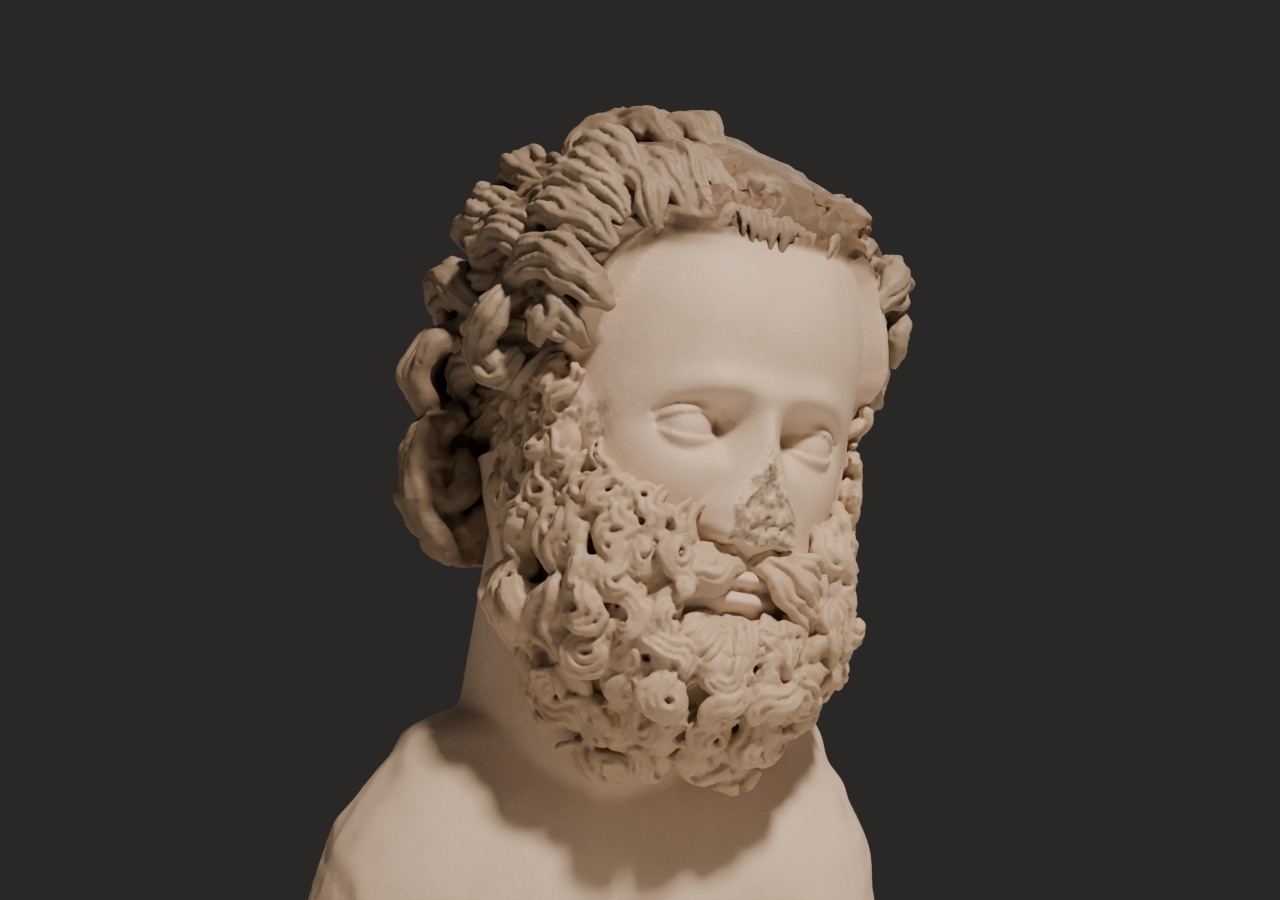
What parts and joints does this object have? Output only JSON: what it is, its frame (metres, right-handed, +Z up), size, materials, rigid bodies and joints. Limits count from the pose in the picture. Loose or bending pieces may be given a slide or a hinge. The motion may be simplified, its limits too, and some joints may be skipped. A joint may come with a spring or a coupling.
{
  "type": "marble bust of a bearded man",
  "caption": "Marble bust of a bearded man in the classical manner: curly beard, swept-back hair rolled at the nape, turned head, upper chest cut flat below.",
  "frame": {"origin": "middle of the flat underside, below the middle of the chest", "axes": "+Z up, chest facing -Y, head turned towards +X"},
  "size_m": [0.3321, 0.2526, 0.483],
  "materials": {
    "aged_marble": "aged warm white marble, smooth on the face and chest, weathered brown and pitted on the hair"
  },
  "bodies": {
    "root": {"bearded_bust": "aged_marble"}
  },
  "joints": []
}
